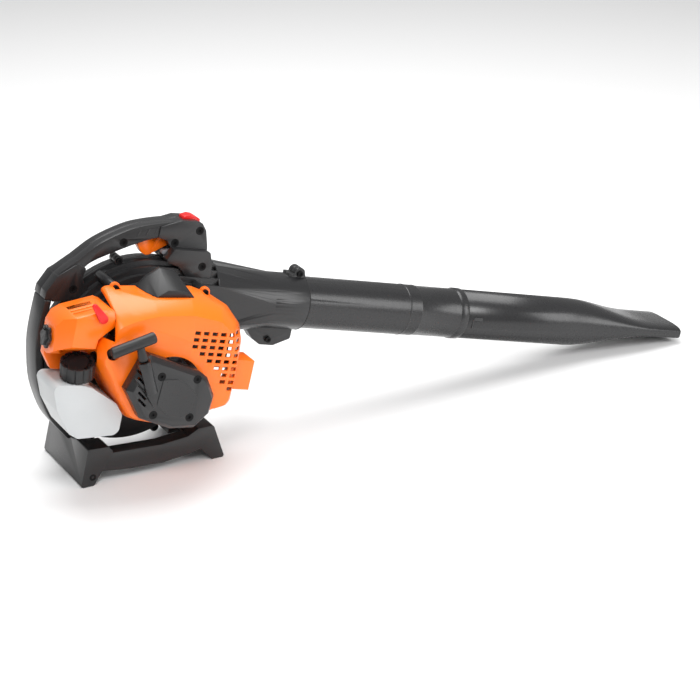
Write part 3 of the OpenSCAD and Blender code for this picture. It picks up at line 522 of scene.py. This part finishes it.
@dataclass
class StarterCover:
    """Raised field and louvres on the starter cover, and the T-shaped pull."""

    face_y: float = -152.0
    field_outline: tuple[Point, ...] = (
        (-22, 22), (-1, 24), (12, 18), (30, 3), (28, -17), (14, -27), (-8, -24), (-24, -12),
    )
    louvres: int = 7
    louvre_from: Point = (-62.0, 22.0)
    louvre_step: Point = (3.6, -4.2)
    grip_r: float = 7.5
    grip_from: float = -38.0
    grip_to: float = 22.0
    grip_height: float = 26.0
    pull_lean: float = math.radians(25.0)
    eyelet: Triple = (-53.0, -150.0, 44.0)

    def build(self) -> None:
        """Makes every piece of the starter."""
        self.panel()
        self.ribs()
        self.pull()

    def panel(self) -> None:
        """Raises the eight-sided field with its stepped edge."""
        outline = rounded_loop(self.field_outline, 3)
        panel = slab("starter_panel", outline, self.face_y - 0.9, self.face_y + 1.0, 0.4, 2.5, -0.5)
        dress(panel, GREY_NYLON, Rider.HOUSING)

    def ribs(self) -> None:
        """Sets slanted louvre blades beside the rope channel."""
        for i in range(self.louvres):
            u = self.louvre_from[0] + self.louvre_step[0] * i
            top = self.louvre_from[1] + self.louvre_step[1] * i
            outline = [(u, top), (u + 1.3, top + 0.8), (u + 15.3, top - 13.2), (u + 14, top - 14)]
            blade = slab(f"starter_louvre_{i + 1}", outline, self.face_y - 0.8, self.face_y + 2.0, 0.25)
            dress(blade, GREY_NYLON, Rider.HOUSING)

    def frame(self) -> Matrix:
        """Returns the pull's frame, its Z axis along the rope."""
        return Matrix.Translation(Vector(self.eyelet) * MM) @ Matrix.Rotation(-self.pull_lean, 4, "Y")

    def pull(self) -> None:
        """Turns the stem and the grip with rounded ends, and joins them."""
        stem_profile = [(0.02, 2.0), (6.0, 2.0), (6.4, 6.0), (5.2, 14.0), (4.8, 20.0), (0.02, 24.0)]
        stem = turned("starter_pull", stem_profile, self.frame(), 40, 0.5)
        r, a, b = self.grip_r, self.grip_from, self.grip_to
        profile = [(0.02, a), (r * 0.7, a), (r * 0.93, a + 1.2), (r, a + 3.5), (r * 0.96, (a + b) / 2),
                   (r, b - 3.5), (r * 0.93, b - 1.2), (r * 0.7, b), (0.02, b)]
        across = Matrix.Translation((0, 0, self.grip_height * MM)) @ Matrix.Rotation(math.pi / 2, 4, "Y")
        grip = turned("starter_grip", profile, self.frame() @ across, 40)
        deselect()
        grip.select_set(True)
        stem.select_set(True)
        bpy.context.view_layer.objects.active = stem
        bpy.ops.object.join()
        dress(stem, BLACK_NYLON, Rider.STARTER, ["starter_handle"])


@dataclass
class FuelCap:
    """Screw cap with finger flutes and a sunk top."""

    radius: float = 21.8
    foot: Triple = (-112.0, -98.0, -5.0)
    lean: float = math.radians(13.0)
    base: float = 11.0
    height: float = 20.0
    flutes: int = 12
    flute_depth: float = 1.6
    steps_per_flute: int = 8

    def build(self) -> None:
        """Draws the fluted outline, extrudes it and sinks the top."""
        points = []
        count = self.flutes * self.steps_per_flute
        for i in range(count):
            turn = 2 * math.pi * i / count
            dip = max(0.0, math.cos(self.flutes * turn)) ** 6
            r = self.radius - self.flute_depth * dip
            points.append((r * math.cos(turn), r * math.sin(turn), self.base))
        cap = start_loop("fuel_cap_fluted", points, True)
        bpy.ops.object.mode_set(mode="EDIT")
        bpy.ops.mesh.select_all(action="SELECT")
        bpy.ops.mesh.extrude_region_move(TRANSFORM_OT_translate={"value": (0.0, 0.0, self.height * MM)})
        bpy.ops.mesh.inset(thickness=3.2 * MM, depth=0.0)
        bpy.ops.mesh.extrude_region_move(TRANSFORM_OT_translate={"value": (0.0, 0.0, -0.9 * MM)})
        bpy.ops.mesh.inset(thickness=1.0 * MM, depth=0.0)
        bpy.ops.object.mode_set(mode="OBJECT")
        upright = Matrix.Rotation(-PITCH, 4, "Y")
        tilt = Matrix.Rotation(self.lean, 4, "X")
        close_up(cap, HEAD @ Matrix.Translation(Vector(self.foot) * MM) @ upright @ tilt)
        round_edges(cap, 0.7, 2, 50.0)
        smooth(cap)
        dress(cap, BLACK_NYLON, Rider.FUEL_CAP, ["fuel_cap"])


@dataclass
class CoverKnob:
    """Star knob on the back of the air cleaner."""

    centre: Triple = (-153.6, -77.0, 45.0)
    radius: float = 15.0
    depth: float = 5.4
    lobes: int = 6
    lobe_depth: float = 1.6
    steps_per_lobe: int = 10

    def build(self) -> None:
        """Draws the lobed outline, extrudes it backwards and raises a boss."""
        points = []
        count = self.lobes * self.steps_per_lobe
        for i in range(count):
            turn = 2 * math.pi * i / count
            r = self.radius - self.lobe_depth + self.lobe_depth * math.cos(self.lobes * turn)
            points.append((0.0, r * math.cos(turn), r * math.sin(turn)))
        knob = start_loop("cover_knob_star", points, True)
        bpy.ops.object.mode_set(mode="EDIT")
        bpy.ops.mesh.select_all(action="SELECT")
        star_depth, boss_depth = self.depth * 0.6, self.depth * 0.4
        bpy.ops.mesh.extrude_region_move(TRANSFORM_OT_translate={"value": (-star_depth * MM, 0.0, 0.0)})
        bpy.ops.mesh.inset(thickness=4.0 * MM, depth=0.0)
        bpy.ops.mesh.extrude_region_move(TRANSFORM_OT_translate={"value": (-boss_depth * MM, 0.0, 0.0)})
        bpy.ops.object.mode_set(mode="OBJECT")
        close_up(knob, HEAD @ Matrix.Translation(Vector(self.centre) * MM))
        round_edges(knob, 0.7, 3)
        smooth(knob)
        dress(knob, BLACK_NYLON, Rider.KNOB, ["cover_knob"])


@dataclass
class PrimerBulb:
    """Rubber dome of the primer with its rolled rim."""

    centre: Triple = (-85.0, -118.2, 45.0)

    def build(self) -> None:
        """Turns the dome from its profile."""
        profile = [(0.02, 9.0), (3.0, 8.6), (5.4, 7.2), (6.8, 4.8), (7.2, 2.4), (8.4, 1.8), (8.5, 0.2),
                   (7.0, 0.0), (5.6, 3.0), (0.02, 5.6)]
        bulb = turned("primer_bulb_dome", profile, spot(*self.centre), 40)
        dress(bulb, BLACK_RUBBER_AND_GAP_SHADE, Rider.PRIMER, ["primer_bulb"])


@dataclass
class TubeTrim:
    """Seams and marks of the duct and the tubes: seam ring, a dark ring of painted gap shade at the collar,
    and bayonet lug.
    """

    duct_v: float = 90.0
    tube_r: float = 35.0
    joint_u: float = 491.0
    seam_u: float = 395.0
    seam_height: float = 0.5
    collar_u: float = 231.0
    steps: int = 72

    def build(self) -> None:
        """Adds the seam ring, the collar's ring of painted gap shade and the bayonet lug."""
        self.ring()
        self.painted_gap_shade()
        self.latch()

    def around(self, u: float) -> Matrix:
        """Returns a frame on the tube's axis at u, its Z axis along the tube."""
        return Matrix.Translation(Vector((u, 0.0, self.duct_v)) * MM) @ Matrix.Rotation(math.pi / 2, 4, "Y")

    def ring(self) -> None:
        """Adds one low rounded ring round the tube."""
        r, top = self.tube_r + 0.1, self.tube_r + 0.1 + self.seam_height
        profile = [(r, -1.6), (top, -0.8), (top, 0.8), (r, 1.6), (r - 0.6, 0.0)]
        ring = turned("tube_seam_ring", profile, self.around(self.seam_u), self.steps)
        dress(ring, GREY_TUBE, Rider.HOUSING)

    def painted_gap_shade(self) -> None:
        """Adds a black ring at the step between the duct's collar and the tube: painted shade of the gap
        there.
        """
        r = self.tube_r + 0.25
        profile = [(r, 0.3), (r + 2.6, 0.3), (r + 2.9, 0.9), (r + 2.6, 1.5), (r, 1.8)]
        painted_gap_shade = turned("collar_painted_gap_shade_ring", profile, self.around(self.collar_u), self.steps)
        # The black rubber finish here is painted shade of the gap at the collar.
        dress(painted_gap_shade, BLACK_RUBBER_AND_GAP_SHADE, Rider.HOUSING)

    def latch(self) -> None:
        """Adds the bayonet lug that shows beside the joint, on the nozzle's near side."""
        mark = [(8, 0.0), (10, 4.0), (24, 4.0), (24, -0.5), (10, -0.5), (10, -12.0), (8, -12.0)]
        outline = [(self.joint_u + u, self.duct_v + 2 + v) for u, v in mark]
        lug = slab("nozzle_bayonet_mark", outline, -self.tube_r - 0.3, -self.tube_r + 3.0, 0.3)
        dress(lug, GREY_TUBE, Rider.NOZZLE)


@dataclass
class HandleTrim:
    """Grip ribs of the loop handle."""

    half_w: float = 15.0
    ribs: int = 3
    first: Point = (-30.0, 165.0)
    step: Point = (12.0, 2.6)

    def build(self) -> None:
        """Adds slanted grip ribs on the near face of the bar."""
        for i in range(self.ribs):
            u = self.first[0] + self.step[0] * i
            v = self.first[1] + self.step[1] * i
            outline = [(u, v), (u + 2.6, v + 0.5), (u + 5.4, v + 9.5), (u + 2.8, v + 9.0)]
            rib = slab(f"grip_rib_{i + 1}", outline, -self.half_w - 0.5, -self.half_w + 1.0, 0.35)
            dress(rib, GREY_NYLON, Rider.HOUSING)


@dataclass
class Studio:
    """Floor, camera and soft lights."""

    eye: Triple = (-0.9040, -2.4646, 1.2611)
    target: Triple = (0.3917, -0.0582, 0.1066)
    lens_mm: float = 113.14
    floor_m: float = 14.0
    floor_z: float = -0.0002
    sensor_mm: float = 36.0
    clip_end_m: float = 50.0
    world_strength: float = 0.36

    def build(self) -> None:
        """Makes the floor, the lights, the surroundings and the camera."""
        self.floor()
        self.lights()
        self.surroundings()
        self.camera()

    def floor(self) -> None:
        """Lays a plain pale floor at ground height."""
        deselect()
        bpy.ops.mesh.primitive_plane_add(size=self.floor_m, location=(0, 0, self.floor_z))
        plane = bpy.context.object
        plane.name = "floor"
        paint = bpy.data.materials.new("white_studio_floor")
        paint.use_nodes = True
        shader = paint.node_tree.nodes["Principled BSDF"]
        shader.inputs["Base Color"].default_value = linear("#F2F2F2")
        shader.inputs["Roughness"].default_value = 0.85
        shader.inputs["Specular IOR Level"].default_value = 0.1
        plane.data.materials.append(paint)

    def lights(self) -> None:
        """Hangs three soft boxes round the object."""
        self.soft_box("key_light", (-0.6, -1.5, 1.7), (0.1, 0.0, 0.1), 0.8, 25.0)
        self.soft_box("top_light", (0.5, 0.6, 2.4), (0.3, 0.0, 0.1), 2.0, 66.0)
        self.soft_box("side_light", (2.0, -2.0, 1.1), (0.4, 0.0, 0.1), 1.5, 34.0)

    def soft_box(self, name: str, place: Triple, aim: Triple, size: float, watts: float) -> None:
        """Adds one square area light.

        Args:
            name: The light's name.
            place: Where it hangs.
            aim: What it points at.
            size: Its side in metres.
            watts: Its power.
        """
        deselect()
        bpy.ops.object.light_add(type="AREA", location=place)
        lamp = bpy.context.object
        lamp.name = name
        lamp.data.shape = "SQUARE"
        lamp.data.size = size
        lamp.data.energy = watts
        lamp.rotation_euler = (Vector(aim) - Vector(place)).to_track_quat("-Z", "Y").to_euler()

    def surroundings(self) -> None:
        """Fills the room with even white light."""
        world = bpy.data.worlds.new("studio_white")
        bpy.context.scene.world = world
        world.use_nodes = True
        backdrop = world.node_tree.nodes["Background"]
        backdrop.inputs["Color"].default_value = linear("#FFFFFF")
        backdrop.inputs["Strength"].default_value = self.world_strength
        bpy.context.scene.view_settings.view_transform = "Standard"

    def camera(self) -> None:
        """Sets the camera at the viewing angle."""
        deselect()
        bpy.ops.object.camera_add(location=self.eye)
        camera = bpy.context.object
        camera.name = "main_camera"
        camera.data.lens = self.lens_mm
        camera.data.sensor_width = self.sensor_mm
        camera.data.clip_end = self.clip_end_m
        view = Vector(self.target) - Vector(self.eye)
        camera.rotation_euler = view.to_track_quat("-Z", "Y").to_euler()
        bpy.context.scene.camera = camera


def main() -> None:
    """Builds the studio and every sub-assembly in order."""
    logging.basicConfig(level=logging.INFO, format="%(name)s %(message)s")
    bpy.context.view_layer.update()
    Studio().build()
    home = Rider.HOUSING
    Refined({
        "stand": (GREY_NYLON, home, 2.4),
        "fan_case_near": (GREY_NYLON, home, 0.8),
        "fan_case_far": (GREY_NYLON, home, 0.8),
        "intake_guard": (GREY_NYLON, home, 0.4),
        "straight_tube": (GREY_TUBE, home, 0.4),
        "nozzle": (GREY_TUBE, Rider.NOZZLE, 0.0),
        "handle_near": (GREY_NYLON, home, 1.4),
        "handle_far": (GREY_NYLON, home, 1.4),
        "rear_band": (GREY_NYLON, home, 2.5),
        "trigger": (ORANGE_ABS, Rider.TRIGGER, 1.0),
        "stop_switch": (RED_ABS, Rider.STOP, 0.6),
        "throttle_lock": (GREY_ACETAL, Rider.LOCK, 0.5),
        "plug_cap": (BLACK_NYLON, home, 0.6),
        "air_cleaner_cover": (ORANGE_ABS, home, 1.6),
        "choke_lever": (RED_ABS, Rider.CHOKE, 0.6),
        "shroud": (ORANGE_ABS, home, 0.8),
        "starter_cover": (GREY_NYLON, home, 0.8),
        "fuel_tank": (MILKY_TANK, home, 5.0),
    }).build()
    Kept({
        "stand_pads": BLACK_RUBBER_AND_GAP_SHADE, "case_screws": BLACK_SCREW_AND_RECESS_SHADE, "impeller": BLACK_NYLON,
        "impeller_nut": ZINC_STEEL, "guard_screws": BLACK_SCREW_AND_RECESS_SHADE, "duct_clamp_screw": BLACK_SCREW_AND_RECESS_SHADE,
        "handle_screws": BLACK_SCREW_AND_RECESS_SHADE, "trigger_pin": ZINC_STEEL, "crankcase": CAST_ALLOY,
        "crankcase_gasket": BLACK_RUBBER_AND_GAP_SHADE, "engine_bolts": ZINC_STEEL, "bearing_near": ZINC_STEEL,
        "bearing_far": ZINC_STEEL, "crankshaft": ZINC_STEEL, "flywheel": CAST_ALLOY,
        "flywheel_nut": ZINC_STEEL, "cylinder": CAST_ALLOY, "piston": CAST_ALLOY,
        "piston_rings": ZINC_STEEL, "ignition_coil": BLACK_NYLON, "spark_plug": GLAZED_CERAMIC,
        "plug_boot": BLACK_RUBBER_AND_GAP_SHADE, "exhaust_gasket": ZINC_STEEL, "muffler": HOT_STEEL,
        "intake_spacer": BLACK_NYLON, "carburettor": CAST_ALLOY, "filter_base": BLACK_NYLON,
        "air_filter": FILTER_FELT, "shroud_screws": BLACK_SCREW_AND_RECESS_SHADE, "starter_screws": BLACK_SCREW_AND_RECESS_SHADE,
        "starter_pulley": BLACK_NYLON, "recoil_spring": ZINC_STEEL, "tank_mounts": BLACK_RUBBER_AND_GAP_SHADE,
    }).build()
    for assembly in (ScrewShadeRimsAndFootScrew, StarterCover, FuelCap, CoverKnob, PrimerBulb, TubeTrim, HandleTrim):
        assembly().build()
    deselect()


if __name__ == "__main__":
    main()
